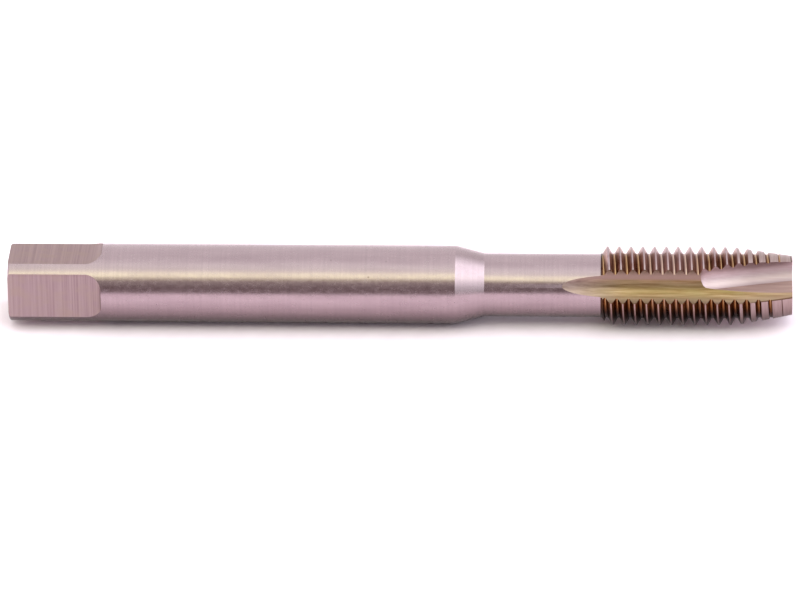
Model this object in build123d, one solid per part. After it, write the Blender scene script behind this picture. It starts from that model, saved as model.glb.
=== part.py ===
from build123d import *
from math import asin, cos, degrees, radians, sin, tan
import os

os.makedirs("parts", exist_ok=True)

# A machine tap for a coarse metric thread, with a spiral point and a reinforced shank.
# The axis of the tap is X: the drive end is at X = 0 and the cutting tip at the far end.
# Sizes are in millimetres and angles in degrees.
overall_length = 100.0
shank_diameter = 10.0
shank_length = 57.1
neck_taper_length = 3.7
end_rounding = 0.35

square_across_flats = 8.0
square_length = 9.85
square_runout_radius = 3.2
square_shoulder_from = 11.95

thread_diameter = 10.0
thread_pitch = 1.5
thread_length = 24.4
neck_clearance = 0.07

lead_threads = 5
lead_angle = 8.3

flute_count = 3
flute_radius_share = 0.255
web_share = 0.65
flute_wheel_radius = 47.6
flute_full_depth_from = 3.9

point_length = 12.1
point_slant = 6.2
point_fall = 8.0
point_rake = 33.5
point_back_angle = 47.0
point_radius = 1.6
point_entry_radius = 1.2
point_offset_share = 0.2205
point_depth_share = 0.0692

centre_hole_diameter = 2.0
centre_mouth_diameter = 4.0
centre_hole_depth = 4.2
tip_centre_diameter = 1.6
tip_centre_depth = 0.8

# How the tap lies, as angles round X from +Y: the first flute, which faces the ground, the
# first flat of the square, and the place where a crest meets the start of the thread.
first_flute_angle = 270.0
first_flat_angle = 83.6
thread_start_angle = 238.6

# The basic profile of a metric thread has flanks at 30 degrees and a crest of an eighth
# of the pitch. The flat at the root follows from a depth of 0.6 of the pitch.
flank_angle = 30.0
crest_width = thread_pitch / 8
thread_depth = 0.6 * thread_pitch
flank_width = thread_depth * tan(radians(flank_angle))
crest_radius = thread_diameter / 2
root_radius = crest_radius - thread_depth
neck_radius = root_radius - neck_clearance
shank_radius = shank_diameter / 2
thread_start = overall_length - thread_length


def around_x(shape, angle):
    """Turn what was drawn in the plane of X and +Z to its own angle from +Y."""
    return Rot(angle - 90, 0, 0) * shape


def in_section(points):
    """A closed outline in the plane of X and radius, as a face."""
    return Plane.XZ * make_face(Polyline(*points, close=True))


def turned_blank():
    """Shank, taper and neck, which runs on a little way inside the threaded part."""
    inside = thread_start + thread_pitch
    outline = [
        (0, 0),
        (0, shank_radius),
        (shank_length, shank_radius),
        (shank_length + neck_taper_length, neck_radius),
        (inside, neck_radius),
        (inside, 0),
    ]
    blank = revolve(in_section(outline), Axis.X)
    end_rim = blank.edges().filter_by(GeomType.CIRCLE).sort_by(Axis.X)[0]
    return fillet(end_rim, end_rounding)


def helical_edge(x, radius):
    """One turn of a right-hand helix, with its start in the plane of X and +Z."""
    return Edge.make_helix(thread_pitch, thread_pitch, radius, center=(x, 0, 0), normal=(1, 0, 0))


def end_of_rod(helix, profile, x):
    """Close one end of the threaded rod with a screw face and the flat step beside it."""
    axis = Edge.make_line((x, 0, 0), (x + thread_pitch, 0, 0))
    screw = Face.make_surface_from_curves(helix, axis)
    corners = [(x, 0, 0)]
    corners += [(x + along, 0, radius) for along, radius in profile]
    corners += [(x + thread_pitch, 0, 0)]
    sides = [Edge.make_line(a, b) for a, b in zip(corners, corners[1:] + corners[:1])]
    return [screw, Face(Wire(sides))]


def threaded_rod():
    """An endless looking thread: crest, two flanks and root are ruled between helices."""
    profile = [
        (0, crest_radius),
        (crest_width, crest_radius),
        (crest_width + flank_width, root_radius),
        (thread_pitch - flank_width, root_radius),
        (thread_pitch, crest_radius),
    ]
    turns = int(thread_length / thread_pitch) + 4
    start = thread_start - 2 * thread_pitch
    rows = []
    for turn in range(turns):
        x = start + turn * thread_pitch
        rows += [helical_edge(x + along, radius) for along, radius in profile[:4]]
    rows.append(helical_edge(start + turns * thread_pitch, crest_radius))
    faces = [Face.make_surface_from_curves(a, b) for a, b in zip(rows, rows[1:])]
    faces += end_of_rod(rows[0], profile, start)
    faces += end_of_rod(rows[-1], profile, start + turns * thread_pitch)
    return around_x(Solid(Shell(faces)), thread_start_angle)


def thread_envelope():
    """The turned outline that bounds the thread: its steep start, its body and its lead."""
    outside = 1.08 * crest_radius
    lead_start = overall_length - lead_threads * thread_pitch
    slope = tan(radians(lead_angle))
    early = (outside - crest_radius) / slope
    tip_radius = crest_radius - lead_threads * thread_pitch * slope
    ramp = (outside - root_radius) * tan(radians(flank_angle))
    outline = [
        (thread_start, 0),
        (thread_start, root_radius),
        (thread_start + thread_pitch / 8, root_radius),
        (thread_start + thread_pitch / 8 + ramp, outside),
        (lead_start - early, outside),
        (overall_length, tip_radius),
        (overall_length, 0),
    ]
    return revolve(in_section(outline), Axis.X)


def flute_cutter():
    """A straight round channel that ends in the arc of the grinding wheel at the neck."""
    radius = flute_radius_share * thread_diameter
    centre = web_share * thread_diameter / 2 + radius
    full_depth = thread_start + flute_full_depth_from
    ring = Plane((full_depth, 0, centre), x_dir=(0, 1, 0), z_dir=(1, 0, 0)) * Circle(radius)
    channel = Solid.extrude(ring.face(), (overall_length + thread_pitch - full_depth, 0, 0))
    wheel_axis = Axis((full_depth, 0, centre + flute_wheel_radius), (0, 1, 0))
    arc = degrees(asin(0.25))
    return channel + Solid.revolve(ring.face(), arc, wheel_axis)


def point_cutter():
    """The slanted notch that throws the chips forward, with a round valley and start."""
    rake = radians(point_rake)
    back = radians(point_back_angle)
    reach = thread_diameter
    run = point_length + thread_pitch
    across = point_offset_share * thread_diameter - point_length * tan(radians(point_slant))
    up = point_depth_share * thread_diameter + point_length * tan(radians(point_fall))
    start = overall_length - point_length
    corners = [
        (start, across, up),
        (start, across + reach * sin(rake), up + reach * cos(rake)),
        (start, across - reach * sin(back), up + reach * cos(back)),
    ]
    face = Face(Wire.make_polygon(corners, close=True))
    travel = (run, run * tan(radians(point_slant)), -run * tan(radians(point_fall)))
    notch = Solid.extrude(face, travel)
    valley = notch.edges().sort_by_distance((start + run / 2, 0, 0))[0]
    notch = notch.fillet(point_radius, [valley])
    first = notch.faces().sort_by(Axis.X)[0]
    rim = [e for e in first.edges() if (e @ 0.5).Z < up + reach * cos(rake) * 0.6]
    return notch.fillet(point_entry_radius, rim)


def flat_cutter():
    """One flat of the drive square: it runs out in a concave arc that ends at a shoulder."""
    half = square_across_flats / 2
    top = half + square_runout_radius
    wide = 2 * shank_diameter
    turn = asin((square_shoulder_from - square_length) / square_runout_radius)
    middle = (
        square_length + square_runout_radius * sin(turn / 2),
        0,
        top - square_runout_radius * cos(turn / 2),
    )
    start = (square_length, 0, half)
    foot = (square_shoulder_from, 0, top - square_runout_radius * cos(turn))
    rest = [foot, (square_shoulder_from, 0, top), (-1, 0, top), (-1, 0, half), start]
    sides = [Edge.make_line(a, b) for a, b in zip(rest, rest[1:])]
    profile = Wire([Edge.make_three_point_arc(start, middle, foot)] + sides)
    return Pos(0, -wide / 2, 0) * Solid.extrude(Face(profile), (0, wide, 0))


def drive_centre():
    """The centre hole of the drive end: a 60 degree cone over a pilot with a drill's point."""
    pilot = centre_hole_diameter / 2
    mouth = centre_mouth_diameter / 2
    cone = (mouth - pilot) / tan(radians(30))
    outline = [
        (-1, 0),
        (-1, mouth + tan(radians(30))),
        (cone, pilot),
        (centre_hole_depth, pilot),
        (centre_hole_depth + pilot * tan(radians(30)), 0),
    ]
    return revolve(in_section(outline), Axis.X)


def tip_centre():
    """The small centre in the tip."""
    mouth = tip_centre_diameter / 2
    slope = mouth / tip_centre_depth
    outline = [
        (overall_length - tip_centre_depth, 0),
        (overall_length + 1, mouth + slope),
        (overall_length + 1, 0),
    ]
    return revolve(in_section(outline), Axis.X)


def thread_tap():
    """The whole tap, ground from one bar."""
    body = turned_blank()
    body -= [around_x(flat_cutter(), first_flat_angle + 90 * i) for i in range(4)]
    body -= drive_centre()
    thread = threaded_rod() & thread_envelope()
    body = body + thread
    step = 360 / flute_count
    angles = [first_flute_angle + step * i for i in range(flute_count)]
    body -= [around_x(flute_cutter(), angle) for angle in angles]
    body -= [around_x(point_cutter(), angle) for angle in angles]
    return body - tip_centre()


tap = thread_tap().solids()[0]
tap.label = "thread_tap"
export_step(tap, "parts/thread_tap.step")
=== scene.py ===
import bpy
import bmesh
import math
import numpy as np
from mathutils import Matrix, Vector


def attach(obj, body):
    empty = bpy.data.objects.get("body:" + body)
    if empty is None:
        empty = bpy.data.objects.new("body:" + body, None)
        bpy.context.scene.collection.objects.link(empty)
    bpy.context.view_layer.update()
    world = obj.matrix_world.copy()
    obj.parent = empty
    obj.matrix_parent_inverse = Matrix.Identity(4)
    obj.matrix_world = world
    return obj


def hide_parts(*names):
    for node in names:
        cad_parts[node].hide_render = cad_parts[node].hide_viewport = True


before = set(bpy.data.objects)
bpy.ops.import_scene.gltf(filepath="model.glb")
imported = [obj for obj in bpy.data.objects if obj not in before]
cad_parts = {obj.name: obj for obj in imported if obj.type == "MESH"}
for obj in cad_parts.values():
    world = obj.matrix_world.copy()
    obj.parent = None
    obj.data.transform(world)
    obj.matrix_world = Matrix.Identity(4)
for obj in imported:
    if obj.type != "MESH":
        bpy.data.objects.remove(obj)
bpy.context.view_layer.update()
print("frame loaded")


def linearColour(hexValue):
    # sRGB hex to the linear colour that shaders use
    parts = [int(hexValue[i:i + 2], 16) / 255 for i in (1, 3, 5)]
    return [c / 12.92 if c <= 0.04045 else ((c + 0.055) / 1.055) ** 2.4 for c in parts] + [1.0]


def addNode(tree, kind, output=0, stops=None, **entries):
    # one node: an entry is a setting, an input by its name (Base_Color) or its number (i1), as a value,
    # a hex colour or another node's output; stops are the places and colours of a ramp
    node = tree.nodes.new("ShaderNode" + kind)
    for key, value in entries.items():
        if hasattr(node, key):
            setattr(node, key, value)
            continue
        entry = node.inputs[int(key[1:]) if key[1:].isdigit() else key.replace("_", " ")]
        if isinstance(value, bpy.types.NodeSocket):
            tree.links.new(value, entry)
        else:
            entry.default_value = linearColour(value) if isinstance(value, str) else value
    for number, (place, colour) in enumerate(stops or []):
        element = node.color_ramp.elements[number] if number < 2 else node.color_ramp.elements.new(place)
        element.position = place
        element.color = linearColour(colour) if isinstance(colour, str) else list(colour) + [1.0]
    return node if output is None else node.outputs[output]


def closedMesh(name, points, faces, material):
    # a mesh object from points and faces, with every face turned outwards
    mesh = bpy.data.meshes.new(name)
    mesh.from_pydata(points.tolist(), [], faces)
    mesh.materials.append(material)
    shape = bmesh.new()
    shape.from_mesh(mesh)
    bmesh.ops.recalc_face_normals(shape, faces=shape.faces)
    shape.to_mesh(mesh)
    shape.free()
    piece = bpy.data.objects.new(name, mesh)
    bpy.context.scene.collection.objects.link(piece)
    return piece


def gridQuads(rows, columns):
    # quads between neighbouring rows of a grid whose columns close on themselves
    row, column = np.meshgrid(np.arange(rows - 1), np.arange(columns), indexing="ij")
    here, there = row * columns, (row + 1) * columns
    beside = (column + 1) % columns
    quads = np.stack([here + column, here + beside, there + beside, there + column], -1)
    return quads.reshape(-1, 4).tolist()


def fan(middle, ring):
    # triangles from one point to each side of a closed ring
    return np.stack([np.full(len(ring), middle), ring, np.roll(ring, -1)], -1).tolist()


def turned(name, profile, segments, material):
    # solid of revolution: (x, radius) goes round X as (x, radius cos a, radius sin a), poles at both ends
    profile = np.array(profile, float)
    angle = np.linspace(0, 2 * np.pi, segments, endpoint=False)
    x = np.repeat(profile[1:-1, :1], segments, 1)
    radius = profile[1:-1, 1:2]
    rings = np.stack([x, radius * np.cos(angle), radius * np.sin(angle)], -1).reshape(-1, 3)
    points = np.vstack([rings, [profile[0, 0], 0, 0], [profile[-1, 0], 0, 0]])
    ring = np.arange(segments)
    faces = gridQuads(len(profile) - 2, segments)
    faces += fan(len(rings), ring) + fan(len(rings) + 1, len(rings) - segments + ring)
    return closedMesh(name, points, faces, material)


def swept(name, sections, material):
    # solid through closed sections, an array of rows by points round, each joined to the next by quads and
    # the first and last closed by one flat face
    rows, columns = sections.shape[:2]
    faces = gridQuads(rows, columns)
    faces += [list(range(columns)), list(range((rows - 1) * columns, rows * columns))]
    return closedMesh(name, sections.reshape(-1, 3), faces, material)


def aroundAxis(points, angle):
    # turns what was drawn with +Z outwards to its own angle from +Y round X, by the matrix of that turn
    a = math.radians(angle - 90)
    turn = np.array([[1, 0, 0], [0, math.cos(a), -math.sin(a)], [0, math.sin(a), math.cos(a)]])
    return points @ turn.T


def combine(piece, other, operation):
    # one boolean of two closed meshes, applied at once, the other's faces keep their material
    modifier = piece.modifiers.new(operation.lower(), "BOOLEAN")
    modifier.operation = operation
    modifier.solver = "MANIFOLD"
    modifier.object = other
    modifier.material_mode = "TRANSFER"
    graph = bpy.context.evaluated_depsgraph_get()
    mesh = bpy.data.meshes.new_from_object(piece.evaluated_get(graph))
    old = piece.data
    piece.modifiers.clear()
    piece.data = mesh
    bpy.data.meshes.remove(old)
    bpy.data.objects.remove(other)
    return piece


def joinClose(piece, reach):
    # merges corners that the cuts left closer than this, drops faces that are then a line, makes triangles
    shape = bmesh.new()
    shape.from_mesh(piece.data)
    bmesh.ops.remove_doubles(shape, verts=shape.verts, dist=reach)
    bmesh.ops.dissolve_degenerate(shape, dist=reach, edges=shape.edges)
    bmesh.ops.triangulate(shape, faces=shape.faces)
    shape.to_mesh(piece.data)
    shape.free()


def startMaterial(name):
    # a material with an empty tree, and its Object coordinates, so all places in materials are in metres
    made = bpy.data.materials.new(name)
    made.use_nodes = True
    made.node_tree.nodes.clear()
    return made, made.node_tree, addNode(made.node_tree, "TexCoord", "Object")


def finishSteel(tree, colour, roughness, marks, depth):
    # bare metal from its colour, its roughness and marks that are so many millimetres deep
    normal = addNode(tree, "Bump", Strength=1.0, Distance=depth / 1000, Height=marks)
    metal = addNode(tree, "BsdfPrincipled", Metallic=1.0, Base_Color=colour, Roughness=roughness,
                    Normal=normal)
    addNode(tree, "OutputMaterial", None, Surface=metal)


def axisDistance(tree, place):
    # distance from the tap's axis
    return addNode(tree, "VectorMath", "Value", operation="LENGTH",
                   i0=addNode(tree, "Mapping", Vector=place, Scale=(0, 1, 1)))


def belowLead(tree, place):
    # how deep a place is under the lead's cone, whose radius falls evenly from its start to the tip
    cone = addNode(tree, "MapRange", Value=addNode(tree, "SeparateXYZ", "X", Vector=place),
                   i1=thread["leadStart"] / 1000, i2=tap["length"] / 1000,
                   i3=thread["crestRadius"] / 1000, i4=thread["tipRadius"] / 1000)
    return addNode(tree, "Math", operation="SUBTRACT", i0=cone, i1=axisDistance(tree, place))


def paintedUndersideShade(tree, place, colour):
    # painted shade: darkens the metal towards the side the tap lies on, where it reflects the dark floor under
    # it
    share = addNode(tree, "MapRange", Value=addNode(tree, "SeparateXYZ", "Z", Vector=place),
                    i1=-0.003, i2=0.0005, i3=0.0, i4=1.0)
    undersideShade = addNode(tree, "ValToRGB", Fac=share, stops=[
        (0.0, (0.32, 0.29, 0.29)), (0.5, (0.70, 0.67, 0.67)), (1.0, (1.0, 1.0, 1.0))])
    return addNode(tree, "Mix", 2, data_type="RGBA", blend_type="MULTIPLY", i0=1.0, i6=colour, i7=undersideShade)


def makeGroundSteel():
    # cylindrically ground high-speed steel: a satin, faintly pink grey, with fine rings round the bar, a
    # mottled grain of half a millimetre, haze of 9 mm by 1 mm along it and stains of 0.2 mm, 3 mm apart; the
    # rings are drawn 0.25 mm apart, because the wheel's own, of about 0.03 mm, are too fine to show
    made, tree, place = startMaterial("groundSteel")
    across = addNode(tree, "Mapping", Vector=place, Scale=(4000, 100, 100))
    rings = addNode(tree, "TexNoise", Vector=across, Scale=1.0, Detail=3.0)
    mottle = addNode(tree, "Mapping", Vector=place, Scale=(1300, 2300, 2300))
    grain = addNode(tree, "TexNoise", Vector=mottle, Scale=1.0, Detail=1.0, Roughness=0.5)
    along = addNode(tree, "Mapping", Vector=place, Scale=(110, 800, 800))
    haze = addNode(tree, "TexNoise", Vector=along, Scale=1.0, Detail=2.0)
    spread = addNode(tree, "Mapping", Vector=place, Scale=(300, 300, 300))
    dots = addNode(tree, "TexVoronoi", Vector=spread, Scale=1.0)
    colour = addNode(tree, "ValToRGB", Fac=rings, stops=[(0.3, "#a49196"), (0.7, "#ab979c")])
    share = addNode(tree, "MapRange", Value=haze, i1=0.4, i2=0.7, i3=0.0, i4=0.6)
    colour = addNode(tree, "Mix", 2, data_type="RGBA", i0=share, i6=colour, i7="#9d898f")
    share = addNode(tree, "MapRange", Value=dots, i1=0.05, i2=0.02, i3=0.0, i4=0.6)
    colour = addNode(tree, "Mix", 2, data_type="RGBA", i0=share, i6=colour, i7="#634f4c")
    roughness = addNode(tree, "MapRange", Value=grain, i1=0.3, i2=0.7, i3=0.2, i4=0.28)
    marks = addNode(tree, "Math", operation="MULTIPLY_ADD", i0=rings, i1=0.25, i2=grain)
    # the colour gets painted shade towards the underside before it goes to the metal
    finishSteel(tree, paintedUndersideShade(tree, place, colour), roughness, marks, 0.0007)
    return made


def makeCrossGround():
    # flats ground across with a coarser wheel: a matt pinkish grey with faint lines straight across the bar,
    # a little darker on the upper flat, and with a painted shadow along the shoulder; the lines are
    # drawn 0.3 mm apart, because the real ones, of about 0.05 mm, are too fine to show
    made, tree, place = startMaterial("crossGroundFlat")
    lines = addNode(tree, "TexNoise", Vector=addNode(tree, "Mapping", Vector=place, Scale=(3300, 40, 40)),
                    Scale=1.0, Detail=3.0, Roughness=0.7)
    patch = addNode(tree, "TexNoise", Vector=addNode(tree, "Mapping", Vector=place, Scale=(500, 700, 700)),
                    Scale=1.0, Detail=3.0)
    colour = addNode(tree, "ValToRGB", Fac=lines, stops=[
        (0.36, "#8f797c"), (0.5, "#9a8588"), (0.64, "#a4908f")])
    share = addNode(tree, "MapRange", Value=patch, i1=0.45, i2=0.7, i3=0.0, i4=0.5)
    colour = addNode(tree, "Mix", 2, data_type="RGBA", i0=share, i6=colour, i7="#9d8a80")
    parts = addNode(tree, "SeparateXYZ", None, Vector=place).outputs
    # a little darker on the upper flat, above 3 mm from the axis
    share = addNode(tree, "MapRange", Value=parts["Z"], i1=0.0030, i2=0.0038, i3=0.0, i4=1.0)
    colour = addNode(tree, "Mix", 2, data_type="RGBA", blend_type="MULTIPLY", i0=share, i6=colour,
                     i7="#f4ebea")
    # painted shadow: a dark line in the corner where the flat meets the shoulder
    edge = (square["shoulder"] - square["stepShade"]) / 1000
    share = addNode(tree, "MapRange", Value=parts["X"], i1=edge, i2=edge + 0.00012, i3=0.0, i4=0.6)
    colour = addNode(tree, "Mix", 2, data_type="RGBA", i0=share, i6=colour, i7="#5f4848")
    roughness = addNode(tree, "MapRange", Value=lines, i1=0.3, i2=0.7, i3=0.36, i4=0.46)
    finishSteel(tree, colour, roughness, lines, 0.0022)
    return made


def makeStainedFlute():
    # fluted before hardening and not cleaned since: straw and olive oxide with streaks along the flute,
    # bare pinkish steel on the cutting face, which was ground again, where the wheel ran out and near the tip;
    # the streaks are 7 mm long and drawn 0.3 mm apart, coarser than the real 0.05 mm, so that they show
    made, tree, place = startMaterial("stainedFlute")
    along = addNode(tree, "Mapping", Vector=place, Scale=(150, 3600, 3600))
    streaks = addNode(tree, "TexNoise", Vector=along, Scale=1.0, Detail=4.0, Roughness=0.65)
    cloud = addNode(tree, "TexNoise", Vector=addNode(tree, "Mapping", Vector=place, Scale=(350, 900, 900)),
                    Scale=1.0, Detail=4.0)
    straw = addNode(tree, "ValToRGB", Fac=streaks, stops=[
        (0.36, "#775e3e"), (0.5, "#907555"), (0.64, "#a78d6f")])
    share = addNode(tree, "MapRange", Value=cloud, i1=0.4, i2=0.65, i3=0.0, i4=0.6)
    straw = addNode(tree, "Mix", 2, data_type="RGBA", i0=share, i6=straw, i7="#8a7856")
    steel = addNode(tree, "ValToRGB", Fac=streaks, stops=[(0.3, "#7d6762"), (0.7, "#a48e89")])
    parts = addNode(tree, "SeparateXYZ", None, Vector=place).outputs
    start = addNode(tree, "MapRange", Value=parts["X"], i1=0.0715, i2=0.0785, i3=0.0, i4=1.0)
    colour = addNode(tree, "Mix", 2, data_type="RGBA", i0=start, i6=steel, i7=straw)
    end = addNode(tree, "MapRange", Value=parts["X"], i1=0.092, i2=0.1, i3=0.0, i4=0.55)
    colour = addNode(tree, "Mix", 2, data_type="RGBA", i0=end, i6=colour, i7="#8d7068")
    # place round the axis in each flute: a half in its middle, less on the side of its cutting face
    bearing = addNode(tree, "Math", operation="ARCTAN2", i0=parts["Z"], i1=parts["Y"])
    third = addNode(tree, "Math", operation="MULTIPLY_ADD", i0=bearing, i1=1.5 / math.pi, i2=1.25)
    third = addNode(tree, "Math", operation="FRACT", i0=third)
    face = addNode(tree, "MapRange", Value=third, i1=0.40, i2=0.36, i3=0.0, i4=0.85)
    colour = addNode(tree, "Mix", 2, data_type="RGBA", i0=face, i6=colour, i7="#8f7671")
    wall = addNode(tree, "MapRange", Value=axisDistance(tree, place), i1=0.0037, i2=0.0046, i3=0.0, i4=0.6)
    colour = addNode(tree, "Mix", 2, data_type="RGBA", i0=wall, i6=colour, i7="#9c8678")
    # dark burr along the edge of the lead
    burr = addNode(tree, "MapRange", Value=belowLead(tree, place), i1=0.00022, i2=0.00012, i3=0.0, i4=0.8)
    leading = addNode(tree, "MapRange", Value=parts["X"], i1=0.0945, i2=0.096, i3=0.0, i4=1.0)
    burr = addNode(tree, "Math", operation="MULTIPLY", i0=burr, i1=leading)
    colour = addNode(tree, "Mix", 2, data_type="RGBA", i0=burr, i6=colour, i7="#4e3024")
    roughness = addNode(tree, "MapRange", Value=streaks, i1=0.3, i2=0.7, i3=0.36, i4=0.46)
    finishSteel(tree, colour, roughness, streaks, 0.003)
    return made


def makeGroundThread():
    # ground thread: pale crests, flanks that turn from mauve to burnt brown, a thin golden line along each
    # root, the colour of old oil drawn narrow as a painted highlight, clean grey flats where the lead was
    # ground last, a plain grey end, and stain with painted shade towards the side it lies on; stains are about
    # 2 mm wide, and lines on the lead are drawn 0.25 mm apart to show
    made, tree, place = startMaterial("groundThread")
    parts = addNode(tree, "SeparateXYZ", None, Vector=place).outputs
    # pitches since the start of the thread, less the turn round the axis: the fraction runs from 0 to 1
    # over one crest, flank, root and flank
    bearing = addNode(tree, "Math", operation="ARCTAN2", i0=parts["Z"], i1=parts["Y"])
    shift = thread["turn"] / 360 - thread["start"] / thread["pitch"]
    pitches = addNode(tree, "Math", operation="MULTIPLY_ADD", i0=parts["X"], i1=1000 / thread["pitch"],
                      i2=shift)
    phase = addNode(tree, "Math", operation="MULTIPLY_ADD", i0=bearing, i1=-0.5 / math.pi, i2=pitches)
    phase = addNode(tree, "Math", operation="FRACT", i0=phase)
    colour = addNode(tree, "ValToRGB", Fac=phase, stops=[
        (0.0, "#937e80"), (0.035, "#a9969b"), (0.09, "#a9969b"), (0.125, "#ae9698"), (0.25, "#b39793"),
        (0.40, "#97746a"), (0.47, "#7e5b48"), (0.66, "#79533f"), (0.82, "#936e5d"), (0.93, "#af9391"),
        (1.0, "#937e80")])
    stain = addNode(tree, "TexNoise", Vector=addNode(tree, "Mapping", Vector=place, Scale=(600, 400, 400)),
                    Scale=1.0, Detail=4.0, Roughness=0.7)
    tint = addNode(tree, "ValToRGB", Fac=stain, stops=[
        (0.36, "#c09682"), (0.5, "#ffffff"), (0.64, "#fff0d8")])
    burnt = addNode(tree, "ValToRGB", Fac=phase, stops=[
        (0.12, (0.45, 0.45, 0.45)), (0.15, "#ffffff"), (0.97, "#ffffff"), (1.0, (0.45, 0.45, 0.45))])
    colour = addNode(tree, "Mix", 2, data_type="RGBA", blend_type="MULTIPLY", i0=burnt, i6=colour, i7=tint)
    # the threads in the middle were wiped cleaner than those at the neck and behind the notches
    share = addNode(tree, "MapRange", Value=parts["X"], i1=thread["start"] / 1000, i2=tap["length"] / 1000,
                    i3=0.0, i4=1.0)
    wiped = addNode(tree, "ValToRGB", Fac=share, stops=[
        (0.2, "#000000"), (0.3, (0.5, 0.5, 0.5)), (0.46, (0.5, 0.5, 0.5)), (0.56, "#000000")])
    colour = addNode(tree, "Mix", 2, data_type="RGBA", i0=wiped, i6=colour, i7="#a98f8f")
    oilAndHighlight = addNode(tree, "Mix", 2, data_type="RGBA", i0=wiped, i6="#c4a378", i7="#d8c2bc")
    # golden line along each root: the colour of old oil, drawn narrower than the root as a painted highlight
    goldenOilAndHighlight = addNode(tree, "ValToRGB", Fac=phase, stops=[
        (0.565, "#000000"), (0.58, "#ffffff"), (0.605, "#ffffff"), (0.62, "#000000")])
    # darker brown towards the side the tap lies on: partly stain, partly painted shade from the floor's dark
    # contact shadow
    share = addNode(tree, "MapRange", Value=parts["Z"], i1=-0.0018, i2=0.003, i3=0.0, i4=1.0)
    undersideStainAndShade = addNode(tree, "ValToRGB", Fac=share, stops=[
        (0.0, (0.28, 0.134, 0.092)), (0.31, (0.84, 0.60, 0.27)), (0.6, (0.60, 0.42, 0.27)),
        (1.0, (1.0, 1.0, 1.0))])
    colour = addNode(tree, "Mix", 2, data_type="RGBA", blend_type="MULTIPLY", i0=burnt, i6=colour, i7=undersideStainAndShade)
    # painted shade: the golden line fades out towards the underside
    share = addNode(tree, "MapRange", Value=parts["Z"], i1=-0.0016, i2=0.001, i3=0.0, i4=1.0)
    goldenOilAndHighlight = addNode(tree, "Math", operation="MULTIPLY", i0=goldenOilAndHighlight, i1=share)
    colour = addNode(tree, "Mix", 2, data_type="RGBA", i0=goldenOilAndHighlight, i6=colour, i7=oilAndHighlight)
    # painted shade in the step where the thread starts, then the ground flats of the lead, and the end
    start = thread["start"] / 1000
    stepShade = addNode(tree, "MapRange", Value=parts["X"], i1=start + 0.00026, i2=start + 0.0002, i3=0.0, i4=0.85)
    colour = addNode(tree, "Mix", 2, data_type="RGBA", i0=stepShade, i6=colour, i7="#2b1b1a")
    flat = addNode(tree, "MapRange", Value=belowLead(tree, place), i1=0.00005, i2=0.00002, i3=0.0, i4=1.0)
    start = thread["leadStart"] / 1000
    begun = addNode(tree, "MapRange", Value=parts["X"], i1=start, i2=start + 0.0004, i3=0.0, i4=1.0)
    flat = addNode(tree, "Math", operation="MULTIPLY", i0=flat, i1=begun)
    fine = addNode(tree, "TexNoise", Vector=addNode(tree, "Mapping", Vector=place, Scale=(4000, 300, 300)),
                   Scale=1.0, Detail=3.0)
    lead = addNode(tree, "ValToRGB", Fac=fine, stops=[(0.3, "#947d7b"), (0.7, "#a79190")])
    groove = addNode(tree, "ValToRGB", Fac=phase, stops=[
        (0.51, "#000000"), (0.54, "#ffffff"), (0.58, "#ffffff"), (0.61, "#000000")])
    lead = addNode(tree, "Mix", 2, data_type="RGBA", i0=groove, i6=lead, i7="#4a2f26")
    colour = addNode(tree, "Mix", 2, data_type="RGBA", i0=flat, i6=colour, i7=lead)
    end = tap["length"] / 1000
    face = addNode(tree, "MapRange", Value=parts["X"], i1=end - 0.00006, i2=end - 0.00003, i3=0.0, i4=1.0)
    colour = addNode(tree, "Mix", 2, data_type="RGBA", i0=face, i6=colour, i7="#96817f")
    roughness = addNode(tree, "MapRange", Value=stain, i1=0.3, i2=0.7, i3=0.26, i4=0.36)
    # the colour gets painted shade towards the underside before it goes to the metal
    finishSteel(tree, paintedUndersideShade(tree, place, colour), roughness, fine, 0.0015)
    return made


def makeFreshPoint():
    # valley of the spiral point, ground last: clean steel with fine lines along the notch, drawn 0.2 mm apart
    # to show, with a painted highlight at its start and painted shade towards its rim
    made, tree, place = startMaterial("freshPoint")
    lines = addNode(tree, "TexNoise", Vector=addNode(tree, "Mapping", Vector=place, Scale=(200, 4500, 4500)),
                    Scale=1.0, Detail=2.0)
    colour = addNode(tree, "ValToRGB", Fac=lines, stops=[(0.3, "#c8b3b7"), (0.7, "#d2c0c4")])
    # painted highlight: lightest at the notch's start, a little darker further along
    share = addNode(tree, "MapRange", Value=addNode(tree, "SeparateXYZ", "X", Vector=place),
                    i1=0.0905, i2=0.095, i3=0.0, i4=1.0)
    colour = addNode(tree, "Mix", 2, data_type="RGBA", blend_type="MULTIPLY", i0=share, i6=colour,
                     i7="#dcd8d6")
    # painted shade: a little darker towards the rim
    rim = addNode(tree, "MapRange", Value=axisDistance(tree, place), i1=0.0026, i2=0.0042, i3=0.0, i4=1.0)
    colour = addNode(tree, "Mix", 2, data_type="RGBA", blend_type="MULTIPLY", i0=rim, i6=colour,
                     i7="#dacfcd")
    roughness = addNode(tree, "MapRange", Value=lines, i1=0.3, i2=0.7, i3=0.52, i4=0.58)
    finishSteel(tree, colour, roughness, lines, 0.001)
    return made


def makePointHeel():
    # heel of the spiral point, left by the side of the wheel: duller and browner, with lines 0.3 mm apart
    made, tree, place = startMaterial("pointHeel")
    lines = addNode(tree, "TexNoise", Vector=addNode(tree, "Mapping", Vector=place, Scale=(150, 3000, 3000)),
                    Scale=1.0, Detail=3.0)
    colour = addNode(tree, "ValToRGB", Fac=lines, stops=[(0.3, "#9a7f7a"), (0.7, "#ac9089")])
    roughness = addNode(tree, "MapRange", Value=lines, i1=0.3, i2=0.7, i3=0.4, i4=0.46)
    finishSteel(tree, colour, roughness, lines, 0.0015)
    return made


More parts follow.
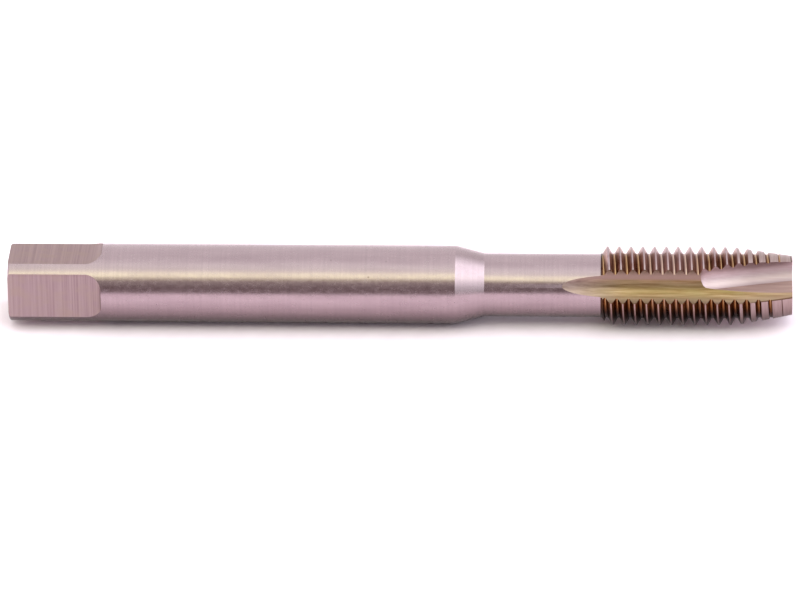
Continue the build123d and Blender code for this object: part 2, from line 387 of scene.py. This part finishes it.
def makeCentreBore():
    # drilled centre: rings of the centre drill, 0.25 mm apart, darker and oily
    made, tree, place = startMaterial("centreBore")
    rings = addNode(tree, "TexNoise", Vector=addNode(tree, "Mapping", Vector=place, Scale=(4000, 500, 500)),
                    Scale=1.0, Detail=2.0)
    colour = addNode(tree, "ValToRGB", Fac=rings, stops=[(0.3, "#776565"), (0.7, "#968483")])
    roughness = addNode(tree, "MapRange", Value=rings, i1=0.3, i2=0.7, i3=0.3, i4=0.45)
    finishSteel(tree, colour, roughness, rings, 0.003)
    return made


tap = {  # millimetres and degrees, as on the drawing
    "length": 100.0,
    "shankRadius": 5.0,
    "shankEnd": 57.1,
    "taperLength": 3.7,
    "neckRadius": 4.03,
    "endRounding": 0.35,
    "overrun": 1.5,  # how far the cutters go on past the tip
    "around": 192,  # sides of the round bar
    "closest": 0.006,  # corners nearer than this are one
    "sharp": 11.5,  # edges that turn more than this stay sharp
}


def turnedBlank():
    # end face with a quarter-round rim, at rounding (1 - sin a) along and rounding (1 - cos a) in from the
    # wall, then shank, taper and neck, which runs on inside the thread
    rim = np.linspace(np.pi / 2, 0, 13)
    rounding, inside = tap["endRounding"], thread["start"] + thread["pitch"]
    profile = np.vstack([
        [0, 0],
        np.stack([rounding * (1 - np.sin(rim)), tap["shankRadius"] - rounding * (1 - np.cos(rim))], -1),
        [tap["shankEnd"], tap["shankRadius"]],
        [tap["shankEnd"] + tap["taperLength"], tap["neckRadius"]],
        [inside, tap["neckRadius"]],
        [inside, 0],
    ])
    return turned("threadTap", profile, tap["around"], groundSteel)


thread = {
    "crestRadius": 5.0,
    "rootRadius": 4.1,
    "pitch": 1.5,
    "start": 75.6,
    "turn": 238.6,  # where a crest meets the start
    "flank": 30.0,
    "leadSlope": 8.3,
    "leadPitches": 5,
    "around": 144,  # steps in a turn
    "outside": 1.08,  # the envelope's reach past the crest, as a share of its radius
}
thread["leadStart"] = tap["length"] - thread["leadPitches"] * thread["pitch"]
thread["tipRadius"] = thread["crestRadius"] - (tap["length"] - thread["leadStart"]) * math.tan(
    math.radians(thread["leadSlope"]))


def threadedRod():
    # ribbon of crest, flank, root and flank: x = start + pitch a / 360 + offset, at angle a round the axis,
    # each turn shares its crest line with the next, and both ends are closed to the axis
    pitch, around = thread["pitch"], thread["around"]
    crest, depth = pitch / 8, thread["crestRadius"] - thread["rootRadius"]
    flank = depth * math.tan(math.radians(thread["flank"]))
    turns = int((tap["length"] - thread["start"]) / pitch) + 4
    offsets = np.array([0, crest, crest + flank, pitch - flank])
    radii = np.array([thread["crestRadius"]] * 2 + [thread["rootRadius"]] * 2)
    steps = np.arange((turns + 1) * around + 1)
    angle = np.radians(thread["turn"]) + 2 * np.pi * steps / around
    x = thread["start"] - 2 * pitch + pitch * steps / around
    grid = np.stack([x[:, None] + offsets, radii * np.cos(angle)[:, None],
                     radii * np.sin(angle)[:, None]], -1)
    count = turns * around
    i = np.arange(count)
    here, ahead, nextTurn = i * 4, (i + 1) * 4, (i + around) * 4
    quads = np.concatenate(
        [np.stack([here + c, here + c + 1, ahead + c + 1, ahead + c], -1) for c in range(3)]
        + [np.stack([here + 3, nextTurn, nextTurn + 4, ahead + 3], -1)])
    ends = np.array([0, count])
    points = np.vstack([grid.reshape(-1, 3), np.stack([x[ends] + pitch / 2, [0, 0], [0, 0]], -1)])
    rim = np.concatenate([np.arange(around + 1) * 4, [3, 2, 1]])
    caps = np.concatenate([fan(len(points) - 2, rim), fan(len(points) - 1, rim + count * 4)])
    # the last turn lends only its crest line, so its other points are left out
    used = np.unique(np.concatenate([quads.ravel(), caps.ravel()]))
    place = np.zeros(len(points), int)
    place[used] = np.arange(len(used))
    return closedMesh("threadRod", points[used], place[quads].tolist() + place[caps].tolist(), groundThread)


def threadEnvelope():
    # turned outline that bounds the thread: its steep start, its body and its lead
    outside = thread["outside"] * thread["crestRadius"]
    early = (outside - thread["crestRadius"]) / math.tan(math.radians(thread["leadSlope"]))
    root = thread["rootRadius"] + 0.004  # just clear of the rod's own root
    rampStart = thread["start"] + thread["pitch"] / 8
    ramp = (outside - root) * math.tan(math.radians(thread["flank"]))
    profile = [(thread["start"], 0), (thread["start"], root), (rampStart, root),
               (rampStart + ramp, outside), (thread["leadStart"] - early, outside),
               (tap["length"], thread["tipRadius"]), (tap["length"], 0)]
    return turned("threadEnvelope", profile, tap["around"], groundThread)


flute = {
    "radius": 2.55,
    "centre": 5.8,  # of the round, from the tap's axis
    "fullDepth": 79.5,  # from here to the tip
    "wheel": 47.6,
    "runout": 0.25,  # sine of the angle that the wheel's arc goes through
    "turns": (270, 30, 150),  # the first faces the floor
    "around": 96,
}


def fluteChannel(angle):
    # round channel along X whose centre goes back by wheel sin a and rises by wheel (1 - cos a) at its end,
    # where each circle leans by a
    around = np.linspace(0, 2 * np.pi, flute["around"], endpoint=False)
    sweep = np.linspace(math.asin(flute["runout"]), 0, 25)
    pathX = np.concatenate([flute["fullDepth"] - flute["wheel"] * np.sin(sweep),
                            [tap["length"] + tap["overrun"]]])
    pathZ = np.concatenate([flute["centre"] + flute["wheel"] * (1 - np.cos(sweep)), [flute["centre"]]])
    lean = np.concatenate([sweep, [0]])
    side, out = flute["radius"] * np.cos(around), flute["radius"] * np.sin(around)
    x = pathX[:, None] + np.sin(lean)[:, None] * out
    z = pathZ[:, None] + np.cos(lean)[:, None] * out
    sections = np.stack([x, np.broadcast_to(side, x.shape), z], -1)
    return swept("fluteChannel", aroundAxis(sections, angle), stainedFlute)


point = {
    "length": 12.1,
    "slant": 6.2,  # to the side, towards the tip
    "fall": 8.0,  # to the axis, towards the tip
    "rake": 33.5,  # of the cutting side and the back, from straight out
    "back": 47.0,
    "valley": 1.6,
    "rim": 1.2,
    "across": 2.205,  # where the V's corner is at the tip
    "up": 0.692,
    "bow": 0.5,
    "reach": 10,  # how far the V's sides go out
}


def pointNotch(angle):
    # V with a round valley on the slant, whose floor falls in a shallow bow: drop = t + bow t (1 - t) over
    # its length; near its start the V is drawn in by a quarter round
    rake, back = math.radians(point["rake"]), math.radians(point["back"])
    slant, fall = math.tan(math.radians(point["slant"])), math.tan(math.radians(point["fall"]))
    quarter = np.linspace(0, np.pi / 2, 11)
    straight = np.linspace(point["rim"], point["length"] + tap["overrun"], 15)[1:]
    along = np.concatenate([point["rim"] * (1 - np.cos(quarter)), straight])
    drawn = np.concatenate([point["rim"] * (1 - np.sin(quarter)), np.zeros(len(straight))])
    halfAngle, middle = (rake + back) / 2, (rake - back) / 2  # of the V, and the lean of its middle line
    share = along / point["length"]
    drop = point["length"] * fall * (share + point["bow"] * share * (1 - share))
    lift = point["valley"] / math.sin(halfAngle)
    hubY = point["across"] - point["length"] * slant + along * slant + lift * math.sin(middle)
    hubZ = point["up"] + point["length"] * fall - drop + lift * math.cos(middle)
    turn = (rake + math.pi / 2) + (math.pi - rake - back) * np.linspace(0, 1, 17)  # round the valley
    arcY = hubY[:, None] + (point["valley"] - drawn)[:, None] * np.sin(turn)
    arcZ = hubZ[:, None] + (point["valley"] - drawn)[:, None] * np.cos(turn)
    reach = point["reach"]
    y = np.hstack([arcY[:, :1] + reach * math.sin(rake), arcY, arcY[:, -1:] - reach * math.sin(back)])
    z = np.hstack([arcZ[:, :1] + reach * math.cos(rake), arcZ, arcZ[:, -1:] + reach * math.cos(back)])
    x = np.broadcast_to((tap["length"] - point["length"] + along)[:, None], y.shape)
    notch = swept("pointNotch", aroundAxis(np.stack([x, y, z], -1), angle), freshPoint)
    notch.data.materials.append(pointHeel)
    columns = x.shape[1]
    isHeel = np.zeros(len(notch.data.polygons), int)
    isHeel[columns - 2:(len(x) - 1) * columns:columns] = 1
    notch.data.polygons.foreach_set("material_index", isHeel)
    return notch


square = {
    "half": 4.0,  # from the axis to a flat
    "length": 9.85,
    "runout": 3.2,
    "shoulder": 11.95,
    "turn": 83.6,
    "stepShade": 0.22,  # width of the line of painted shadow at the shoulder
    "reach": 20.0,
}


def squareFlat(angle):
    # block whose floor is the flat, then a concave arc, runout sin a along and runout (1 - cos a) up, to a
    # shoulder square to the axis
    bend = np.linspace(0, math.asin((square["shoulder"] - square["length"]) / square["runout"]), 13)
    top = square["half"] + square["runout"]
    x = np.concatenate([[-1], square["length"] + square["runout"] * np.sin(bend), [square["shoulder"], -1]])
    z = np.concatenate([[square["half"]], top - square["runout"] * np.cos(bend), [top, top]])
    sections = np.stack([np.stack([x, np.full(x.shape, y), z], -1)
                         for y in (-square["reach"], square["reach"])])
    return swept("squareFlat", aroundAxis(sections, angle), crossGroundFlat)


centre = {  # radii and depths of the holes in both ends
    "pilot": 1.0,
    "mouth": 2.0,
    "depth": 4.2,
    "lean": 30.0,
    "around": 64,
    "tipMouth": 0.8,
    "tipDepth": 0.8,
    "tipAround": 48,
}


def driveCentre():
    # cone of 60 degrees over a pilot with a drill's point
    lean = math.tan(math.radians(centre["lean"]))
    cone = (centre["mouth"] - centre["pilot"]) / lean
    profile = [(-1, 0), (-1, centre["mouth"] + lean), (cone, centre["pilot"]),
               (centre["depth"], centre["pilot"]), (centre["depth"] + centre["pilot"] * lean, 0)]
    return turned("driveCentre", profile, centre["around"], centreBore)


def tipCentre():
    # small cone in the tip
    end = tap["length"]
    slope = centre["tipMouth"] / centre["tipDepth"]
    profile = [(end - centre["tipDepth"], 0), (end + 1, centre["tipMouth"] + slope), (end + 1, 0)]
    return turned("tipCentre", profile, centre["tipAround"], centreBore)


def threadTap():
    # the turned blank less its flats and centre, with the thread put on, less flutes, notches and tip centre
    body = turnedBlank()
    for k in range(4):
        combine(body, squareFlat(square["turn"] + 90 * k), "DIFFERENCE")
    combine(body, driveCentre(), "DIFFERENCE")
    combine(body, combine(threadedRod(), threadEnvelope(), "INTERSECT"), "UNION")
    for cutter in (fluteChannel, pointNotch):
        for turn in flute["turns"]:
            combine(body, cutter(turn), "DIFFERENCE")
    combine(body, tipCentre(), "DIFFERENCE")
    joinClose(body, tap["closest"])
    body.data.transform(Matrix.Scale(0.001, 4))
    body.data.polygons.foreach_set("use_smooth", [True] * len(body.data.polygons))
    body.data.set_sharp_from_angle(angle=math.radians(tap["sharp"]))
    return body


groundSteel = makeGroundSteel()
groundThread = makeGroundThread()
stainedFlute = makeStainedFlute()
freshPoint = makeFreshPoint()
pointHeel = makePointHeel()
crossGroundFlat = makeCrossGround()
centreBore = makeCentreBore()
print("materials made")

piece = threadTap()
print("tap made:", len(piece.data.polygons), "faces", [m.name for m in piece.data.materials])
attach(piece, "root")
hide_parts("thread_tap")
print("tap dressed")


tapMiddle = (tap["length"] / 2000, 0, 0)  # in metres

floor = {"height": -0.005, "radius": 4.0, "rings": 6, "around": 64}


def makeFloor():
    # flat disc of white board: rings of radius r at angle a, one pole in the middle; its fibres clump in
    # patches of 2.5 mm
    angle = np.linspace(0, 2 * np.pi, floor["around"], endpoint=False)
    radius = floor["radius"] * np.linspace(0.1, 1, floor["rings"])[:, None]
    x, y = tapMiddle[0] + radius * np.cos(angle), radius * np.sin(angle)
    rings = np.stack([x, y, np.full(x.shape, floor["height"])], -1).reshape(-1, 3)
    points = np.vstack([rings, [tapMiddle[0], 0, floor["height"]]])
    faces = gridQuads(floor["rings"], floor["around"]) + fan(len(rings), np.arange(floor["around"]))
    made, tree, place = startMaterial("whiteBoard")
    fibre = addNode(tree, "TexNoise", Vector=place, Scale=400.0, Detail=2.0)
    colour = addNode(tree, "ValToRGB", Fac=fibre, stops=[(0.3, "#f0e1ec"), (0.7, "#f4e6f0")])
    addNode(tree, "OutputMaterial", None, Surface=addNode(tree, "BsdfDiffuse", Color=colour))
    piece = closedMesh("floor", points, faces, made)
    if piece.data.polygons[0].normal.z < 0:
        piece.data.flip_normals()


studio = {  # light by its height round the X axis in degrees: 0 in front, 90 overhead, 180 behind
    "bands": [
        (-10, (0.60, 0.58, 0.58)), (3, (0.30, 0.25, 0.25)), (14, (0.23, 0.17, 0.17)),
        (24, (0.30, 0.25, 0.24)), (36, (0.45, 0.39, 0.38)), (44, (0.66, 0.61, 0.46)),
        (49, (2.10, 2.30, 1.55)), (61, (2.08, 2.28, 1.66)), (67, (1.36, 1.44, 1.30)),
        (84, (1.32, 1.38, 1.32)), (100, (1.10, 1.10, 1.10)), (112, (1.04, 1.04, 1.04)),
        (135, (1.12, 1.12, 1.12)), (180, (1.12, 1.12, 1.12)),
    ],
    "gain": 1.176,  # of all the bands
    "sideways": [(0.0, 1.0), (0.2, 1.0), (0.4, 0.66), (0.6, 0.6), (0.85, 0.24)],  # less light past the tip
    "softBox": (2.85, 3.02, 3.12),  # white box at the tip's side
    "boxSide": (0.05, 0.40),  # it comes in over this part of the direction's X, and over these heights
    "boxBottom": (-12, 65),
    "boxTop": (97, 137),  # it fades out over these
    "full": 4.0,  # ramp colours stay under 1, so they are a share of this strength
}


def makeWorld():
    # light by its height round the X axis, less past the tip, with a soft box there; the camera sees white
    world = bpy.data.worlds.new("studio")
    bpy.context.scene.world = world
    world.use_nodes = True
    tree = world.node_tree
    tree.nodes.clear()
    direction = addNode(tree, "SeparateXYZ", None, Vector=addNode(tree, "TexCoord", "Generated")).outputs
    front = addNode(tree, "Math", operation="MULTIPLY", i0=direction["Y"], i1=-1.0)
    height = addNode(tree, "Math", operation="ARCTAN2", i0=direction["Z"], i1=front)
    share = addNode(tree, "MapRange", Value=height, i1=-math.pi, i2=math.pi, i3=0.0, i4=1.0)
    full = studio["full"]
    bands = [((a + 180) / 360, [c * studio["gain"] / full for c in colour]) for a, colour in studio["bands"]]
    light = addNode(tree, "ValToRGB", Fac=share, stops=bands)
    fading = addNode(tree, "ValToRGB", Fac=direction["X"],
                     stops=[(x, (f, f, f)) for x, f in studio["sideways"]])
    light = addNode(tree, "Mix", 2, data_type="RGBA", blend_type="MULTIPLY", i0=1.0, i6=light, i7=fading)
    (sideFrom, sideTo), (lowFrom, lowTo) = studio["boxSide"], np.radians(studio["boxBottom"])
    highFrom, highTo = np.radians(studio["boxTop"])
    side = addNode(tree, "MapRange", Value=direction["X"], i1=sideFrom, i2=sideTo, i3=0.0, i4=1.0)
    low = addNode(tree, "MapRange", Value=height, i1=lowFrom, i2=lowTo, i3=0.0, i4=1.0)
    high = addNode(tree, "MapRange", Value=height, i1=highFrom, i2=highTo, i3=1.0, i4=0.0)
    share = addNode(tree, "Math", operation="MULTIPLY", i0=low, i1=high)
    share = addNode(tree, "Math", operation="MULTIPLY", i0=share, i1=side)
    box = [c / full for c in studio["softBox"]] + [1.0]
    light = addNode(tree, "Mix", 2, data_type="RGBA", i0=share, i6=light, i7=box)
    sky = addNode(tree, "Background", Color=light, Strength=full)
    white = addNode(tree, "Background", Color=(1, 1, 1, 1), Strength=1.0)
    shown = addNode(tree, "LightPath", "Is Camera Ray")
    addNode(tree, "OutputWorld", None, Surface=addNode(tree, "MixShader", i0=shown, i1=sky, i2=white))


lamp = {"place": (0.05, -0.42, 0.92), "size": 0.6, "power": 2.3}


def makeLamp():
    # one soft box overhead, which keeps the shadow close under the tap
    data = bpy.data.lights.new("overheadBox", "AREA")
    data.size = lamp["size"]
    data.energy = lamp["power"]
    piece = bpy.data.objects.new("overheadBox", data)
    piece.visible_glossy = False
    piece.location = lamp["place"]
    aim = Vector(tapMiddle) - Vector(lamp["place"])
    piece.rotation_euler = aim.to_track_quat("-Z", "Y").to_euler()
    bpy.context.scene.collection.objects.link(piece)


camera = {  # millimetres and degrees, as measured in the photo
    "azimuth": 2.6,
    "elevation": 32.3,
    "roll": -1.04,
    "pixelsPerMillimetre": 7.8215,
    "width": 800,
    "distance": 900.0,
    "aimX": 49.938,
    "aimUp": -2.029,
    "sensor": 36.0,
}


def makeCamera():
    # back, right and up are the camera's own axes, and its lens gives those pixels per millimetre at the tap
    azimuth, elevation, roll = (math.radians(camera[k]) for k in ("azimuth", "elevation", "roll"))
    back = Vector((math.sin(azimuth) * math.cos(elevation), -math.cos(azimuth) * math.cos(elevation),
                   math.sin(elevation)))
    right = Vector((math.cos(azimuth), math.sin(azimuth), 0))
    up = back.cross(right)
    right, up = math.cos(roll) * right + math.sin(roll) * up, math.cos(roll) * up - math.sin(roll) * right
    aim = Vector((camera["aimX"], 0, 0)) + up * camera["aimUp"]
    place = (aim + back * camera["distance"]) / 1000
    data = bpy.data.cameras.new("camera")
    data.sensor_width = camera["sensor"]
    data.lens = camera["sensor"] * camera["pixelsPerMillimetre"] * camera["distance"] / camera["width"]
    data.clip_start, data.clip_end = 0.05, 20.0
    piece = bpy.data.objects.new("camera", data)
    piece.matrix_world = Matrix.Translation(place) @ Matrix((right, up, back)).transposed().to_4x4()
    bpy.context.scene.collection.objects.link(piece)
    bpy.context.scene.camera = piece


makeFloor()
makeWorld()
makeLamp()
makeCamera()
bpy.context.scene.view_settings.view_transform = "Standard"
print("stage set")
